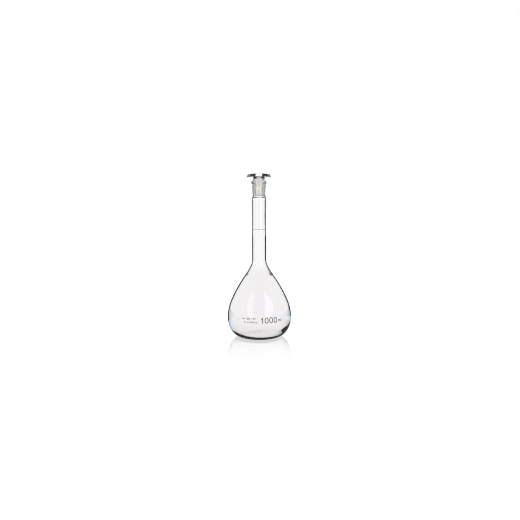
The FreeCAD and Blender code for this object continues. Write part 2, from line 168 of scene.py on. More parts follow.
def low_heel(radius, low_radius, bottom):
    """Centre of the tight arc under the heel, and the angle where the two arcs meet."""
    drop = (GIRTH_Z - bottom - low_radius) / (radius - low_radius)
    bend = math.degrees(math.asin(drop))
    return polar(HEEL_C, radius - low_radius, -bend), bend


LOW_OUT, BEND_OUT = low_heel(HEEL_R, LOW_HEEL_R, 0.0)
LOW_IN, BEND_IN = low_heel(HEEL_R - BULB_WALL, HEEL_INSIDE_R, FOOT_WALL)


def wall_up(wall, low_centre, low_radius, bend, neck_wall):
    """The bulb's wall from the bottom of the heel up to the neck root."""
    lean = tangent_from(SEAM, FLANK_C, FLANK_R)
    seam = (SEAM[0] - wall / math.cos(math.radians(lean)), SEAM[1])
    wide = sweep_centre(seam, SKIRT_R + neck_wall, ROOT_C, ROOT_R + neck_wall)
    meet = bearing(wide, ROOT_C)
    points = arc(low_centre, low_radius, -90, -bend, 20)
    points += arc(HEEL_C, HEEL_R - wall, -bend, 0, 16)
    points += arc(SHOULDER_C, SHOULDER_R - wall, 0, TURN, 16)
    points += arc(FLANK_C, FLANK_R - wall, TURN, lean, 14)
    points += line(polar(FLANK_C, FLANK_R - wall, lean), seam, 10)
    first = bearing(wide, seam)
    soon = first + (meet - first) * 0.2
    points += arc(wide, SKIRT_R + neck_wall, first, soon, 16)
    points += arc(wide, SKIRT_R + neck_wall, soon, meet, 16)
    points += arc(ROOT_C, ROOT_R + neck_wall, meet, 180, 12)
    return points


def dome(reach, edge, middle, steps):
    """A shallow rise from reach in to the axis, level at both ends, without its last point."""
    radii = [reach * i / steps for i in range(steps)]
    return [(r, edge + (middle - edge) * (0.5 + 0.5 * math.cos(math.pi * r / reach))) for r in radii]


def throat_up(low, high, bottom, top, steps):
    """Two equal arcs that draw the wall in from radius low to radius high."""
    bend = 2 * math.degrees(math.atan2(low - high, top - bottom))
    radius = (top - bottom) / (2 * math.sin(math.radians(bend)))
    points = arc((low - radius, bottom), radius, 0, bend, steps)
    return points + arc((high + radius, top), radius, 180 + bend, 180, steps)


def bead_up():
    """From the socket's tapered wall over the rolled bead to the rim."""
    crown = (CONE_TOP_R + RIM_LAND, RIM_Z - BEAD_R)
    centre = (crown[0], crown[1] - BEAD_SIDE)
    lean = math.degrees(math.atan(CONE_SLOPE))
    side = polar((0, 0), 1, -lean)
    up = polar((0, 0), 1, 90 - lean)
    waist = (CONE_FOOT_R + SOCKET_WALL, RIM_Z - CONE_LENGTH)
    offset = (centre[0] - waist[0]) * side[0] + (centre[1] - waist[1]) * side[1]
    along = math.sqrt((BEAD_R + BEAD_FILLET) ** 2 - (BEAD_FILLET - offset) ** 2)
    nook = (centre[0] + side[0] * (BEAD_FILLET - offset) - up[0] * along,
            centre[1] + side[1] * (BEAD_FILLET - offset) - up[1] * along)
    away = math.degrees(math.atan2(nook[1] - centre[1], nook[0] - centre[0]))
    points = arc(nook, BEAD_FILLET, 180 - lean, 180 + away, 8)
    points += arc(centre, BEAD_R, away, 0, 12)
    points += line(polar(centre, BEAD_R, 0), polar(crown, BEAD_R, 0), 3)
    return points + arc(crown, BEAD_R, 0, 90, 12) + [(crown[0], RIM_Z)]


# ---------------------------------------------------------------- flask wall
def flask_outline():
    """Outside from the punt up to the rim, inside down to the floor, and each row's zone."""
    waist_z = RIM_Z - CONE_LENGTH + CONE_LAND
    waist = CONE_FOOT_R + SOCKET_WALL + CONE_LAND * CONE_SLOPE
    collar_z = waist_z - THROAT_DROP
    outside = dome(FOOT_R, 0, PUNT, 24)
    outside += line((FOOT_R, 0), (LOW_OUT[0], 0), 3)
    outside += wall_up(0.0, LOW_OUT, LOW_HEEL_R, BEND_OUT, 0.0)
    outside += line((NECK_R, ROOT_Z), (NECK_R, FLARE[0]), 12)
    outside += line((NECK_R, FLARE[0]), (NECK_TOP_R, FLARE[1]), 6)
    outside += line((NECK_TOP_R, FLARE[1]), (NECK_TOP_R, collar_z), 3)
    outside += throat_up(NECK_TOP_R, waist, collar_z, waist_z, 6)
    bead = bead_up()
    outside += line((waist, waist_z), bead[0], 6)
    outside += bead
    cone_foot = (CONE_FOOT_R, RIM_Z - CONE_LENGTH)
    ground = line((CONE_TOP_R, RIM_Z), cone_foot, 10)
    bore = NECK_TOP_R - NECK_WALL
    high = cone_foot[1] - CONE_LAND
    low = high - THROAT_DROP
    inside = dome(FOOT_R, FOOT_WALL, FLOOR, 24) + line((FOOT_R, FOOT_WALL), (LOW_IN[0], FOOT_WALL), 4)
    inside += wall_up(BULB_WALL, LOW_IN, HEEL_INSIDE_R, BEND_IN, NECK_WALL)
    inside += line((NECK_R - NECK_WALL, ROOT_Z), (NECK_R - NECK_WALL, FLARE[0]), 12)
    inside += line((NECK_R - NECK_WALL, FLARE[0]), (bore, FLARE[1]), 6)
    inside += line((bore, FLARE[1]), (bore, low), 3)
    inside += throat_up(bore, CONE_FOOT_R, low, high, 6)
    inside += [(CONE_FOOT_R, high), cone_foot]
    inside.reverse()
    rows = outside + ground + inside
    zones = ["bulb" if height < SEAM[1] + 8 else "clear" for _, height in rows[:-1]]
    for row in range(len(outside), len(outside) + len(ground)):
        zones[row] = "ground"
    return outside, ground + inside, zones


def make_mesh(name, rings, zones, materials, sharp=35.0):
    """A closed surface from rings of points. A ring of one point is a pole on the axis."""
    mesh = bpy.data.meshes.new(name)
    verts = []
    starts = []
    for ring in rings:
        starts.append(len(verts))
        verts += ring
    faces = []
    kinds = []
    for number in range(len(rings) - 1):
        a, b = starts[number], starts[number + 1]
        count_a, count_b = len(rings[number]), len(rings[number + 1])
        for i in range(max(count_a, count_b)):
            j = (i + 1) % max(count_a, count_b)
            if count_a == 1:
                faces.append((a, b + j, b + i))
            elif count_b == 1:
                faces.append((a + i, a + j, b))
            else:
                faces.append((a + i, a + j, b + j, b + i))
            kinds.append(zones[number])
    mesh.from_pydata([tuple(c * MM for c in v) for v in verts], [], faces)
    order = list(materials)
    for key in order:
        mesh.materials.append(materials[key])
    for face, kind in zip(mesh.polygons, kinds):
        face.material_index = order.index(kind)
        face.use_smooth = True
    mesh.set_sharp_from_angle(angle=math.radians(sharp))
    mesh.validate()
    piece = bpy.data.objects.new(name, mesh)
    bpy.context.scene.collection.objects.link(piece)
    return piece


def turn_round(points, count=TURNS, wobble=None):
    """Rings of points round the axis. wobble(radius, height, angle) changes the radius."""
    rings = []
    for radius, height in points:
        if radius < 1e-6:
            rings.append([(0.0, 0.0, height)])
            continue
        ring = []
        for i in range(count):
            angle = 2 * math.pi * i / count
            r = radius + (wobble(radius, height, angle) if wobble else 0.0)
            ring.append((r * math.cos(angle), r * math.sin(angle), height))
        rings.append(ring)
    return rings


# ---------------------------------------------------------------- materials
BOROSILICATE_IOR = 1.473
GRIND_SCALE = 400.0
ENAMEL_SCALE = 900.0


def node_material(name):
    """A new material and its Principled shader."""
    material = bpy.data.materials.new(name)
    material.use_nodes = True
    return material, material.node_tree.nodes["Principled BSDF"]


def glass(name, colour, roughness, passing):
    """Borosilicate glass. Ground faces scatter some of the light, so passing is below 1."""
    material, shader = node_material(name)
    shader.inputs["Base Color"].default_value = (*colour, 1.0)
    shader.inputs["Roughness"].default_value = roughness
    shader.inputs["IOR"].default_value = BOROSILICATE_IOR
    shader.inputs["Transmission Weight"].default_value = passing
    return material


def fine_noise(tree, scale):
    """Noise that is fixed to the piece, for grain in a surface."""
    noise = tree.nodes.new("ShaderNodeTexNoise")
    noise.inputs["Scale"].default_value = scale
    noise.inputs["Detail"].default_value = 3.0
    coord = tree.nodes.new("ShaderNodeTexCoord")
    tree.links.new(coord.outputs["Object"], noise.inputs["Vector"])
    return noise.outputs["Fac"]


def grind(material, finest, coarsest):
    """Lets the roughness of a ground face change a little, as the grinding leaves it."""
    tree = material.node_tree
    spread = tree.nodes.new("ShaderNodeMapRange")
    spread.inputs["To Min"].default_value = finest
    spread.inputs["To Max"].default_value = coarsest
    tree.links.new(fine_noise(tree, GRIND_SCALE), spread.inputs["Value"])
    tree.links.new(spread.outputs["Result"], tree.nodes["Principled BSDF"].inputs["Roughness"])


def enamel(name, colour):
    """Fired grey enamel with a slightly uneven, half-gloss surface."""
    material, shader = node_material(name)
    tree = material.node_tree
    ramp = tree.nodes.new("ShaderNodeValToRGB")
    ramp.color_ramp.elements[0].color = (*[c * 0.85 for c in colour], 1.0)
    ramp.color_ramp.elements[1].color = (*[c * 1.1 for c in colour], 1.0)
    tree.links.new(fine_noise(tree, ENAMEL_SCALE), ramp.inputs["Fac"])
    tree.links.new(ramp.outputs["Color"], shader.inputs["Base Color"])
    shader.inputs["Roughness"].default_value = 0.45
    return material


clear_glass = glass("clear_glass", (0.995, 0.993, 0.995), 0.0, 1.0)
# the bulb's copy of the clear glass is darker and pinker: painted shade and tint for the dimmer, lilac
# light seen through the bulb
shaded_bulb_glass = glass("shaded_bulb_glass", (0.973, 0.960, 0.971), 0.0, 1.0)
ground_glass = glass("ground_glass", (1.0, 0.985, 0.97), 0.2, 0.84)
grind(ground_glass, 0.15, 0.25)
grey_enamel = enamel("grey_enamel", (0.10, 0.10, 0.105))
pale_enamel = enamel("pale_enamel", (0.30, 0.29, 0.29))


# ---------------------------------------------------------------- pieces
def drawn_unevenness(height, angle):
    """Slow changes of the wall that blown and drawn glass has."""
    size = 0.012 if height > ROOT_Z else 0.05
    turn = math.sin(3 * angle + 0.7 + height * 0.01) + 0.6 * math.sin(7 * angle + 2.1)
    return size * turn


def gather(height, extra):
    """Extra glass at a height, from its thickness, middle and reach."""
    thickness, middle, reach = extra
    return thickness * smooth(1.0 - abs(height - middle) / reach)


def thick_side(height, angle):
    """Extra wall: more on the right side and in the neck, less in front at the foot."""
    right = (0.5 + 0.5 * math.cos(angle)) ** 2
    front = (0.5 - 0.5 * math.sin(angle)) ** 2
    foot = smooth(1.0 - height / 14.0)
    neck = smooth((height - 130.0) / 20.0)
    top = smooth((height - NECK_TOP_FROM) / 30.0)
    one_sided = gather(height, HEEL_GATHER) + gather(height, GIRTH_GATHER) + NECK_EXTRA_RIGHT * neck
    even = NECK_EXTRA * neck + NECK_TOP_EXTRA * top
    return one_sided * right + even - FOOT_THINNER * foot * front


def seam_inside(height, angle):
    """Extra glass inside the fused seam, most of it at the two sides, and more at the right."""
    above = height - SEAM[1]
    side = math.cos(angle)
    knot = gather(height, SEAM_KNOT) * side ** 10
    skirt = smooth((above + 5.0) / 9.0) * smooth(1.0 - above / 28.0) * (0.08 + 0.92 * side ** 4)
    return (knot + SKIRT_EXTRA * skirt) * (0.67 + 0.33 * side)


def outer_wobble(radius, height, angle):
    """The fused seam stands out a little at both sides."""
    return gather(height, SEAM_SWELL) * math.cos(angle) ** 10


def inner_wobble(radius, height, angle):
    """How the inside departs from an even wall. The ground cone is left as it is."""
    below = EVEN_ABOVE - height
    fade = min(1.0, max(0.0, below / 20.0)) * min(1.0, radius / 30.0 + (height > 60))
    drift = drawn_unevenness(height, angle) * fade
    extra = thick_side(height, angle) * smooth(1.0 + below / 6.0)
    return drift - extra - seam_inside(height, angle) - gather(height, THROAT_BEAD)


def make_flask():
    outside, inside, zones = flask_outline()
    rings = turn_round(outside, wobble=outer_wobble) + turn_round(inside, wobble=inner_wobble)
    glasses = {"clear": clear_glass, "bulb": shaded_bulb_glass, "ground": ground_glass}
    piece = make_mesh("flask_glass", rings, zones, glasses)
    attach(piece, "flask")
    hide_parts("flask_bulb", "neck_tube", "ground_socket")


def polygon_ring(apothem, height):
    """A ring of PLUG_TURNS points on the head's twelve-sided outline, its corners rounded."""
    edge = HEAD_CORNER_EDGE
    ring = []
    half = math.pi / HEAD_SIDES
    corner = (apothem - edge) / math.cos(half)
    flats = PLUG_TURNS // HEAD_SIDES - HEAD_CORNER_POINTS + 1
    for side in range(HEAD_SIDES):
        middle = 2 * math.pi * side / HEAD_SIDES
        cx = corner * math.cos(middle + half)
        cy = corner * math.sin(middle + half)
        for i in range(HEAD_CORNER_POINTS):
            angle = middle + 2 * half * i / (HEAD_CORNER_POINTS - 1)
            ring.append((cx + edge * math.cos(angle), cy + edge * math.sin(angle), height))
        start = ring[-1][:2]
        end = (corner * math.cos(middle + 3 * half) + edge * math.cos(middle + 2 * half),
               corner * math.sin(middle + 3 * half) + edge * math.sin(middle + 2 * half))
        ring += [(x, y, height) for x, y in line(start, end, flats)[1:]]
    return ring


def round_ring(radius, height, like):
    """A round ring whose points lie at the same angles as the ring like."""
    ring = []
    for x, y, _ in like:
        angle = math.atan2(y, x)
        ring.append((radius * math.cos(angle), radius * math.sin(angle), height))
    return ring


def plug_radius(height):
    """Radius of the plug's ground cone, which stays CONE_GAP inside the socket's."""
    return CONE_TOP_R - CONE_GAP + CONE_SLOPE * (height - RIM_Z)


def plug_profile():
    """The plug from its tail up to the head's base, with a zone name for each row."""
    edge = PLUG_TAIL_EDGE
    tail_r = plug_radius(PLUG_TAIL_Z)
    step_r = plug_radius(PLUG_STEP_Z)
    tail = [(r, PLUG_TAIL_Z) for r in (0.0, 3.0, 6.0, tail_r - edge - 0.3)]
    tail += arc((tail_r - edge, PLUG_TAIL_Z + edge), edge, -90, -3, 8)
    ground = line((tail_r + CONE_SLOPE * edge, PLUG_TAIL_Z + edge), (step_r, PLUG_STEP_Z), 10)
    shank = [(step_r, PLUG_STEP_Z), (step_r - 0.15, PLUG_STEP_Z + 0.35),
             (SHANK_R + 0.3, PLUG_STEP_Z + 0.7), (SHANK_R + 0.05, PLUG_STEP_Z + 1.1),
             (SHANK_R, PLUG_STEP_Z + 1.8), (SHANK_R, HEAD_BASE - 1.2),
             (SHANK_R + 0.15, HEAD_BASE - 0.5), (SHANK_R + 0.6, HEAD_BASE - 0.1),
             (SHANK_R + 1.4, HEAD_BASE)]
    zones = ["clear"] * len(tail) + ["ground"] * len(ground) + ["clear"] * len(shank)
    return tail + ground + shank, zones


def head_profile(apothem):
    """Half widths and heights of the head's rows, its sides drawn in towards the top."""
    lean = math.tan(HEAD_DRAFT)
    high = HEAD_TOP - HEAD_BEVEL
    upper = apothem - (high - HEAD_BASE) * lean
    return [(apothem - HEAD_BEVEL, HEAD_BASE),
            (apothem - HEAD_BEVEL * 0.35, HEAD_BASE + HEAD_BEVEL * 0.3),
            (apothem - HEAD_BEVEL * lean, HEAD_BASE + HEAD_BEVEL),
            (upper, high),
            (upper - HEAD_BEVEL * 0.4, HEAD_TOP - HEAD_BEVEL * 0.3),
            (apothem - (HEAD_TOP - HEAD_BASE) * lean - HEAD_BEVEL, HEAD_TOP)]


def make_stopper():
    apothem = HEAD_CORNER_R * math.cos(math.pi / HEAD_SIDES)
    like = polygon_ring(apothem, 0.0)
    profile, zones = plug_profile()
    rings = [[(0.0, 0.0, PLUG_TAIL_Z)]]
    rings += [round_ring(radius, height, like) for radius, height in profile[1:]]
    rings += [polygon_ring(reach, height) for reach, height in head_profile(apothem)]
    rings += [round_ring(10.0, HEAD_TOP, like), [(0.0, 0.0, HEAD_TOP)]]
    zones += ["clear"] * (len(rings) - len(zones))
    glasses = {"clear": clear_glass, "ground": ground_glass}
    piece = make_mesh("stopper_glass", rings, zones, glasses, sharp=22.0)
    add_cavity(piece)
    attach(piece, "stopper")
    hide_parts("stopper_plug", "stopper_head")


def add_cavity(piece):
    """The blown hollow inside the plug, a closed inner face of the same piece."""
    low, high = HOLLOW
    low_r, high_r = HOLLOW_R
    tail, top = HOLLOW_CORNER
    profile = [(0.0, low)] + arc((low_r - tail, low + tail), tail, -90, 0, 8)
    profile += line((low_r, low + tail), (high_r, high - top), 10)
    profile += arc((high_r - top, high - top), top, 0, 90, 8) + [(0.0, high)]
    profile.reverse()
    rings = turn_round(profile, PLUG_TURNS)
    hollow = make_mesh("hollow", rings, ["clear"] * len(rings), {"clear": clear_glass})
    work = bmesh.new()
    work.from_mesh(piece.data)
    work.from_mesh(hollow.data)
    work.to_mesh(piece.data)
    work.free()
    mesh = hollow.data
    bpy.data.objects.remove(hollow)
    bpy.data.meshes.remove(mesh)


def make_ring_mark():
    """Graduation line, a low rounded band of enamel round the neck."""
    low_half = [(NECK_R - RING_SUNK, RING_Z - RING_HALF),
                (NECK_R + RING_BUILD * 0.7, RING_Z - RING_HALF * 0.85),
                (NECK_R + RING_BUILD, RING_Z - RING_HALF * 0.4)]
    section = low_half + [(radius, 2 * RING_Z - height) for radius, height in reversed(low_half)]
    rings = turn_round(section + section[:1])
    piece = make_mesh("ring_line", rings, ["ink"] * len(rings), {"ink": pale_enamel})
    work = bmesh.new()
    work.from_mesh(piece.data)
    bmesh.ops.remove_doubles(work, verts=work.verts, dist=1e-7)
    work.to_mesh(piece.data)
    work.free()
    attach(piece, "flask")
    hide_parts("ring_mark")


# ---------------------------------------------------------------- lettering on the bulb
PRINT_RAISED = 0.09
PRINT_SUNK = 0.02
PRINT_EDGE = 1.6
FACE_ORDER = Vector((1.0, 0.37, 0.61))
DIGIT_Z = 42.1
DIGIT_HALF = 5.45
STROKE = 1.5
ONE_X = 6.7
NOUGHT_X = 13.4
NOUGHT_STEP = 8.8
NOUGHT_HALF = 3.65
SQUARING = 0.85


def bulb_point(along, height, lift):
    """A point on the front of the bulb, along its girth from the middle and at a height."""
    if height >= GIRTH_Z:
        centre, curve = SHOULDER_C, SHOULDER_R
    else:
        centre, curve = HEEL_C, HEEL_R
    angle = math.asin((height - GIRTH_Z) / curve)
    radius = centre[0] + (curve + lift) * math.cos(angle)
    turn = along / BULB_R - math.pi / 2
    up = centre[1] + (curve + lift) * math.sin(angle)
    return Vector((radius * math.cos(turn), radius * math.sin(turn), up)) * MM


def fit_flat(mesh, left, right, low, high):
    """Stretch a flat mesh on to a box given along the girth and in height."""
    xs = [v.co.x for v in mesh.vertices]
    ys = [v.co.y for v in mesh.vertices]
    for vert in mesh.vertices:
        vert.co.x = left + (vert.co.x - min(xs)) * (right - left) / (max(xs) - min(xs))
        vert.co.y = low + (vert.co.y - min(ys)) * (high - low) / (max(ys) - min(ys))


def flat_mesh(curve):
    """The filled face of a flat curve or text."""
    holder = bpy.data.objects.new(curve.name + "_flat", curve)
    bpy.context.scene.collection.objects.link(holder)
    bpy.context.view_layer.update()
    depsgraph = bpy.context.evaluated_depsgraph_get()
    mesh = bpy.data.meshes.new_from_object(holder.evaluated_get(depsgraph))
    bpy.data.objects.remove(holder)
    return mesh


def wrap_print(name, mesh):
    """Lay a flat mesh round the bulb, give it thickness and make it a piece of its own."""
    work = bmesh.new()
    work.from_mesh(mesh)
    bmesh.ops.remove_doubles(work, verts=work.verts, dist=1e-4)
    bmesh.ops.triangulate(work, faces=work.faces)
    for _ in range(3):
        long_edges = [e for e in work.edges if e.calc_length() > PRINT_EDGE]
        if not long_edges:
            break
        bmesh.ops.subdivide_edges(work, edges=long_edges, cuts=1)
        bmesh.ops.triangulate(work, faces=work.faces)
    top = bmesh.ops.extrude_face_region(work, geom=work.faces[:])
    raised = {v for v in top["geom"] if isinstance(v, bmesh.types.BMVert)}
    for vert in work.verts:
        lift = PRINT_RAISED if vert in raised else -PRINT_SUNK
        vert.co = bulb_point(vert.co.x, vert.co.y, lift)
    bmesh.ops.recalc_face_normals(work, faces=work.faces)
    # the extrusion's side faces come in another order each run, so all are sorted along one direction
    work.faces.sort(key=lambda face: face.calc_center_median().dot(FACE_ORDER))
    work.to_mesh(mesh)
    work.free()
    mesh.materials.clear()
    mesh.materials.append(grey_enamel)
    piece = bpy.data.objects.new(name, mesh)
    bpy.context.scene.collection.objects.link(piece)
    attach(piece, "flask")


def lettering(name, text, left, right, low, high, weight):
    """Small fired enamel letters that fill a box on the bulb. weight thickens their strokes."""
    curve = bpy.data.curves.new(name, "FONT")
    curve.body = text
    curve.size = 10.0
    curve.offset = weight
    curve.resolution_u = 6
    mesh = flat_mesh(curve)
    fit_flat(mesh, left, right, low, high)
    wrap_print(name, mesh)


def closed_line(curve, points):
    """Adds one closed outline to a flat curve."""
    spline = curve.splines.new("POLY")
    spline.points.add(len(points) - 1)
    for point, (x, y) in zip(spline.points, points):
        point.co = (x, y, 0.0, 1.0)
    spline.use_cyclic_u = True


def oval(middle, half_wide, half_high, count=36):
    """A full, slightly squared oval round a digit's middle."""
    points = []
    for i in range(count):
        angle = 2 * math.pi * i / count
        c, s = math.cos(angle), math.sin(angle)
        x = middle + half_wide * math.copysign(abs(c) ** SQUARING, c)
        points.append((x, DIGIT_Z + half_high * math.copysign(abs(s) ** SQUARING, s)))
    return points


def capacity_print():
    """The number 1000: a one with a flag, then three noughts."""
    curve = bpy.data.curves.new("print_capacity", "CURVE")
    curve.dimensions = "2D"
    curve.fill_mode = "BOTH"
    high = DIGIT_Z + DIGIT_HALF
    low = DIGIT_Z - DIGIT_HALF
    flag = [(ONE_X - STROKE * 0.8, high), (ONE_X - 2.1, high - 1.6), (ONE_X - 3.9, high - 2.6),
            (ONE_X - 3.9, high - 4.0), (ONE_X - STROKE, high - 2.9)]
    closed_line(curve, [(ONE_X, low), (ONE_X, high)] + flag + [(ONE_X - STROKE, low)])
    for number in range(3):
        middle = NOUGHT_X + NOUGHT_STEP * number
        closed_line(curve, oval(middle, NOUGHT_HALF, DIGIT_HALF))
        closed_line(curve, oval(middle, NOUGHT_HALF - STROKE, DIGIT_HALF - STROKE * 0.9))
    wrap_print("print_capacity", flat_mesh(curve))


make_flask()
make_stopper()
make_ring_mark()
capacity_print()
lettering("print_unit", "ml", 37.5, 44.5, 38.5, 44.0, 0.1)
lettering("print_temperature", "In 20 °C", -33.0, -7.0, 43.5, 47.3, 0.12)
lettering("print_tolerance", "A  ± 0,40 ml", -30.0, -4.0, 36.8, 40.6, 0.12)


# ---------------------------------------------------------------- node helpers
class Nodes:
    """Short calls for the stage's node trees."""

    def __init__(self, tree):
        self.tree = tree
        tree.nodes.clear()

    def add(self, kind, **settings):
        node = self.tree.nodes.new(kind)
        for key, value in settings.items():
            setattr(node, key, value)
        return node

    def link(self, a, b):
        self.tree.links.new(a, b)

    def math(self, operation, *values):
        node = self.add("ShaderNodeMath", operation=operation)
        for socket, value in zip(node.inputs, values):
            if isinstance(value, (int, float)):
                socket.default_value = value
            else:
                self.link(value, socket)
        return node.outputs[0]

    def times(self, first, *others):
        for other in others:
            first = self.math("MULTIPLY", first, other)
        return first

    def absolute(self, value):
        return self.math("ABSOLUTE", value)

    def above(self, value, limit):
        return self.math("GREATER_THAN", value, limit)

    def below(self, value, limit):
        return self.math("LESS_THAN", value, limit)

    def ramp(self, value, low, high, start, end):
        """start up to low, end from high on, and a smooth change between them."""
        node = self.add("ShaderNodeMapRange", interpolation_type="SMOOTHSTEP")
        self.link(value, node.inputs["Value"])
        node.inputs["From Min"].default_value = low
        node.inputs["From Max"].default_value = high
        node.inputs["To Min"].default_value = start
        node.inputs["To Max"].default_value = end
        return node.outputs["Result"]

    def turn_ramp(self, value, low, high, start, end):
        """A ramp over an angle that is given in degrees."""
        return self.ramp(value, math.radians(low), math.radians(high), start, end)

    def mix(self, share, a, b):
        """a where share is 0, b where it is 1."""
        rest = self.math("SUBTRACT", 1.0, share)
        return self.math("ADD", self.times(share, b), self.times(rest, a))

    def xyz(self, coordinate):
        """The three parts of a coordinate, and its turn round the axis from the middle of the back."""
        split = self.add("ShaderNodeSeparateXYZ")
        self.link(coordinate, split.inputs[0])
        x, y, z = split.outputs
        return x, y, z, self.math("ARCTAN2", x, y)

    def behind(self, turn, core, edge):
        """1 within core degrees of the middle of the back, smoothly down to 0 at edge degrees."""
        return self.turn_ramp(self.absolute(turn), core, edge, 1.0, 0.0)

    def window(self, value, middle, half):
        """1 within half of a place along a wall, with soft edges."""
        off = self.absolute(self.math("SUBTRACT", value, middle))
        return self.ramp(off, half - 0.05, half + 0.05, 1.0, 0.0)


class Path:
    """Where a ray has been, as values of 0 or 1, from the number of glass faces that it passed.

    One stretch of glass has two faces, both walls together have four, and the socket with the
    hollow plug in it has eight.
    """

    def __init__(self, nodes):
        info = nodes.add("ShaderNodeLightPath")
        faces = info.outputs["Transmission Depth"]
        mirrors = info.outputs["Glossy Depth"]
        self.camera = info.outputs["Is Camera Ray"]
        self.sharp = info.outputs["Is Singular Ray"]
        self.scattered = nodes.above(info.outputs["Diffuse Depth"], 0.5)
        self.outside = nodes.below(faces, 0.5)
        self.mirrored = nodes.above(mirrors, 0.5)
        self.both_walls = nodes.above(faces, 3.5)
        self.socket = nodes.above(faces, 5.5)
        self.joint = nodes.above(faces, 6.5)
        inside = nodes.above(faces, 0.5)
        in_one = nodes.below(faces, 3.5)
        self.one_wall = nodes.times(inside, in_one)
        # mirrored inside the glass: once within one wall, or twice before it is past the joint
        once = nodes.times(self.mirrored, in_one)
        twice = nodes.times(nodes.above(mirrors, 1.5), nodes.below(faces, 6.5))
        self.caught = nodes.times(nodes.math("MAXIMUM", once, twice), inside)


# ---------------------------------------------------------------- table
DARK_ROOM = 0.02
EDGE_TINT = (0.55, 0.92, 1.0)
TABLE_HALF = 6.0
TABLE_Z = -0.0002
SHINE = 0.36
SHINE_REACH = (0.03, 0.17)
SHINE_ROUGHNESS = 0.012
BOARD_LIGHT = 1.1


def tint_edges(nodes, share, socket):
    """White light, but sea green where it was mirrored inside the glass."""
    blend = nodes.add("ShaderNodeMix", data_type="RGBA")
    nodes.link(share, blend.inputs[0])
    blend.inputs[6].default_value = (1, 1, 1, 1)
    blend.inputs[7].default_value = (*EDGE_TINT, 1)
    nodes.link(blend.outputs[2], socket)


def table_through_glass(nodes, path, far, turn):
    """White through both walls. Through one wall it is dark, but for a strip well behind the flask."""
    strip = nodes.times(nodes.behind(turn, 9, 13), nodes.ramp(far, 0.12, 0.2, 0.0, 1.0))
    strength = nodes.mix(path.one_wall, 1.0, nodes.math("MAXIMUM", strip, DARK_ROOM))
    return nodes.mix(path.caught, strength, DARK_ROOM)


def table_in_outer_faces(nodes, far, turn):
    """Bright in front, grey at the sides and behind, and a pale strip far behind.

    The strip is what the flat underside of the stopper's head mirrors.
    """
    in_front = nodes.times(nodes.turn_ramp(nodes.absolute(turn), 100, 125, 0.0, 1.0),
                           nodes.ramp(far, 0.058, 0.085, 0.0, 1.0))
    strip = nodes.times(nodes.behind(turn, 2, 3), nodes.ramp(far, 1.8, 2.2, 0.0, 1.0))
    return nodes.mix(strip, nodes.mix(in_front, 0.2, 1.0), 1.5)


def side_boards(nodes, x, y):
    """Two pale boards on the table: one behind on the right, one beside the flask on the left."""
    right = nodes.times(nodes.ramp(x, 0.0, 0.03, 0.0, 1.0),
                        nodes.ramp(y, 0.085, 0.10, 0.0, 1.0),
                        nodes.ramp(y, 0.27, 0.30, 1.0, 0.0))
    left = nodes.times(nodes.ramp(x, -0.056, -0.052, 1.0, 0.0),
                       nodes.ramp(y, -0.020, -0.014, 0.0, 1.0),
                       nodes.ramp(y, 0.085, 0.10, 1.0, 0.0))
    return nodes.math("MAXIMUM", left, right)


def table_material():
    """White that shines by itself, with a faint mirror image close to the flask."""
    material = bpy.data.materials.new("white_table")
    material.use_nodes = True
    nodes = Nodes(material.node_tree)
    path = Path(nodes)
    coord = nodes.add("ShaderNodeTexCoord").outputs["Object"]
    length = nodes.add("ShaderNodeVectorMath", operation="LENGTH")
    nodes.link(coord, length.inputs[0])
    far = length.outputs["Value"]
    x, y, _, turn = nodes.xyz(coord)

    strength = table_through_glass(nodes, path, far, turn)
    outer = nodes.times(path.outside, path.sharp, path.mirrored)
    strength = nodes.mix(outer, strength, table_in_outer_faces(nodes, far, turn))
    board = nodes.times(side_boards(nodes, x, y), path.caught, BOARD_LIGHT)
    strength = nodes.math("MAXIMUM", strength, board)

    light = nodes.add("ShaderNodeEmission")
    tint_edges(nodes, path.caught, light.inputs["Color"])
    nodes.link(nodes.mix(path.scattered, strength, 1.0), light.inputs["Strength"])
    shine = nodes.add("ShaderNodeBsdfGlossy")
    shine.inputs["Color"].default_value = (1, 1, 1, 1)
    shine.inputs["Roughness"].default_value = SHINE_ROUGHNESS
    blend = nodes.add("ShaderNodeMixShader")
    near = nodes.ramp(far, *SHINE_REACH, SHINE, 0.0)
    nodes.link(nodes.times(near, path.camera), blend.inputs["Fac"])
    nodes.link(light.outputs["Emission"], blend.inputs[1])
    nodes.link(shine.outputs["BSDF"], blend.inputs[2])
    out = nodes.add("ShaderNodeOutputMaterial")
    nodes.link(blend.outputs["Shader"], out.inputs["Surface"])
    return material


def make_floor():
    """The table top, which is no piece of the flask."""
    corners = [(x * TABLE_HALF, y * TABLE_HALF, TABLE_Z) for x, y in ((-1, -1), (1, -1), (1, 1), (-1, 1))]
    mesh = bpy.data.meshes.new("table_top")
    mesh.from_pydata(corners, [], [(0, 1, 2, 3)])
    mesh.materials.append(table_material())
    floor = bpy.data.objects.new("table_top", mesh)
    bpy.context.scene.collection.objects.link(floor)


# ---------------------------------------------------------------- studio
WINDOW_LEAN = math.radians(30)
WINDOW_LIGHT = (1.8, 2.4)
ROOM_LIGHT = 1.8
SOCKET_SHADE = 0.55
PANEL_TURN = math.pi / 4


def panels_through_one_wall(nodes, turn, panels):
    """Narrow white panels every eighth of a turn in a dark room, brightest at the back."""
    nearest = nodes.times(nodes.math("ROUND", nodes.math("DIVIDE", turn, PANEL_TURN)), PANEL_TURN)
    off = nodes.absolute(nodes.math("SUBTRACT", turn, nearest))
    narrow = nodes.times(nodes.turn_ramp(off, 7, 11, 1.0, 0.0), panels)
    lit = nodes.times(narrow, nodes.ramp(nodes.absolute(turn), 0.4, 0.5, 0.85, 0.2))
    return nodes.math("MAXIMUM", lit, DARK_ROOM)


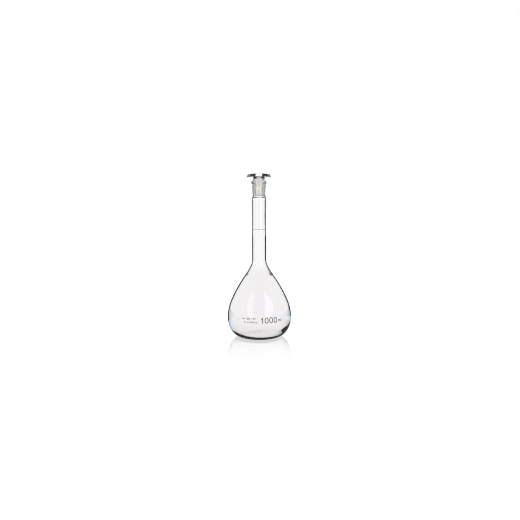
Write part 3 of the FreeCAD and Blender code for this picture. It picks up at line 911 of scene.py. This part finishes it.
def tall_windows(nodes, x, y, z):
    """Two tall windows in front of the flask, on a wall that leans back."""
    level = math.cos(WINDOW_LEAN)
    tilt = math.sin(WINDOW_LEAN)
    toward = nodes.math("SUBTRACT", nodes.times(z, tilt), nodes.times(y, level))
    rise = nodes.math("ADD", nodes.times(z, level), nodes.times(y, tilt))
    ahead = nodes.math("MAXIMUM", toward, 0.01)
    across = nodes.math("DIVIDE", x, ahead)
    up = nodes.math("DIVIDE", rise, ahead)
    left = nodes.times(nodes.window(across, -0.70, 0.30), WINDOW_LIGHT[0])
    right = nodes.times(nodes.window(across, 0.77, 0.40), WINDOW_LIGHT[1])
    tall = nodes.times(nodes.ramp(up, 0.34, 0.46, 1.0, 0.0), nodes.ramp(up, -1.1, -0.85, 0.0, 1.0))
    return nodes.times(nodes.math("ADD", left, right), tall)


def room_in_outer_faces(nodes, aside):
    """A bright room round the sides, dimmer to the front, and a dark one right behind the flask."""
    return nodes.times(nodes.turn_ramp(aside, 28, 40, DARK_ROOM, ROOM_LIGHT),
                       nodes.turn_ramp(aside, 50, 95, 1.0, 0.45),
                       nodes.turn_ramp(aside, 110, 135, 1.0, 0.5))


def room_through_glass(nodes, path, slope, turn):
    """An even white through both walls, greyer overhead and at the feet and through the socket."""
    panels = nodes.ramp(nodes.absolute(slope), 0.35, 0.75, 1.0, 0.25)
    even = nodes.mix(path.socket, panels, nodes.times(panels, SOCKET_SHADE))
    return nodes.mix(path.both_walls, panels_through_one_wall(nodes, turn, panels), even)


def make_world():
    """Bright white studio. What the glass bends or mirrors is a darker room with panels."""
    world = bpy.data.worlds.new("studio")
    bpy.context.scene.world = world
    world.use_nodes = True
    nodes = Nodes(world.node_tree)
    path = Path(nodes)
    x, y, z, turn = nodes.xyz(nodes.add("ShaderNodeTexCoord").outputs["Generated"])
    aside = nodes.absolute(turn)

    mirrored = nodes.math("ADD", tall_windows(nodes, x, y, z), room_in_outer_faces(nodes, aside))
    light = nodes.mix(path.outside, room_through_glass(nodes, path, z, turn), mirrored)
    light = nodes.mix(path.caught, light, DARK_ROOM)
    # the frosted joint is bright in its middle and fades to its sides
    light = nodes.mix(path.joint, light, nodes.ramp(aside, 0.1, 0.45, 1.3, 0.35))
    blurred = nodes.math("SUBTRACT", 1.0, path.sharp)
    plain = nodes.math("MAXIMUM", path.camera, nodes.times(path.outside, blurred))
    light = nodes.mix(plain, light, 1.0)
    # ground faces and enamel are lit from the front and the back, less from the sides
    light = nodes.mix(path.scattered, light, nodes.ramp(nodes.absolute(x), 0.1, 0.9, 2.3, 0.3))

    back = nodes.add("ShaderNodeBackground")
    unscattered = nodes.math("SUBTRACT", path.caught, nodes.times(path.caught, path.scattered))
    tint_edges(nodes, unscattered, back.inputs["Color"])
    nodes.link(light, back.inputs["Strength"])
    out = nodes.add("ShaderNodeOutputWorld")
    nodes.link(back.outputs["Background"], out.inputs["Surface"])


# ---------------------------------------------------------------- camera
CAMERA_PLACE = (0.0, -0.9, 0.2209)
CAMERA_ROLL = 0.004
CAMERA_LENS = 31.55
CAMERA_SHIFT = (0.0018, -0.0702)


def make_camera():
    """A level camera in front of the flask, its view moved down by the shift."""
    data = bpy.data.cameras.new("camera")
    data.sensor_width = 36.0
    data.lens = CAMERA_LENS
    data.shift_x, data.shift_y = CAMERA_SHIFT
    data.clip_start = 0.01
    camera = bpy.data.objects.new("camera", data)
    camera.location = CAMERA_PLACE
    camera.rotation_euler = (math.pi / 2, CAMERA_ROLL, 0.0)
    bpy.context.scene.collection.objects.link(camera)
    bpy.context.scene.camera = camera


def set_look(scene):
    """Plain colours, and enough bounces for light to get through all the walls."""
    scene.view_settings.view_transform = "Standard"
    scene.cycles.max_bounces = 32
    scene.cycles.transmission_bounces = 32
    scene.cycles.glossy_bounces = 16
    scene.cycles.use_denoising = True
    scene.cycles.filter_width = 1.0


make_floor()
make_world()
make_camera()
set_look(bpy.context.scene)
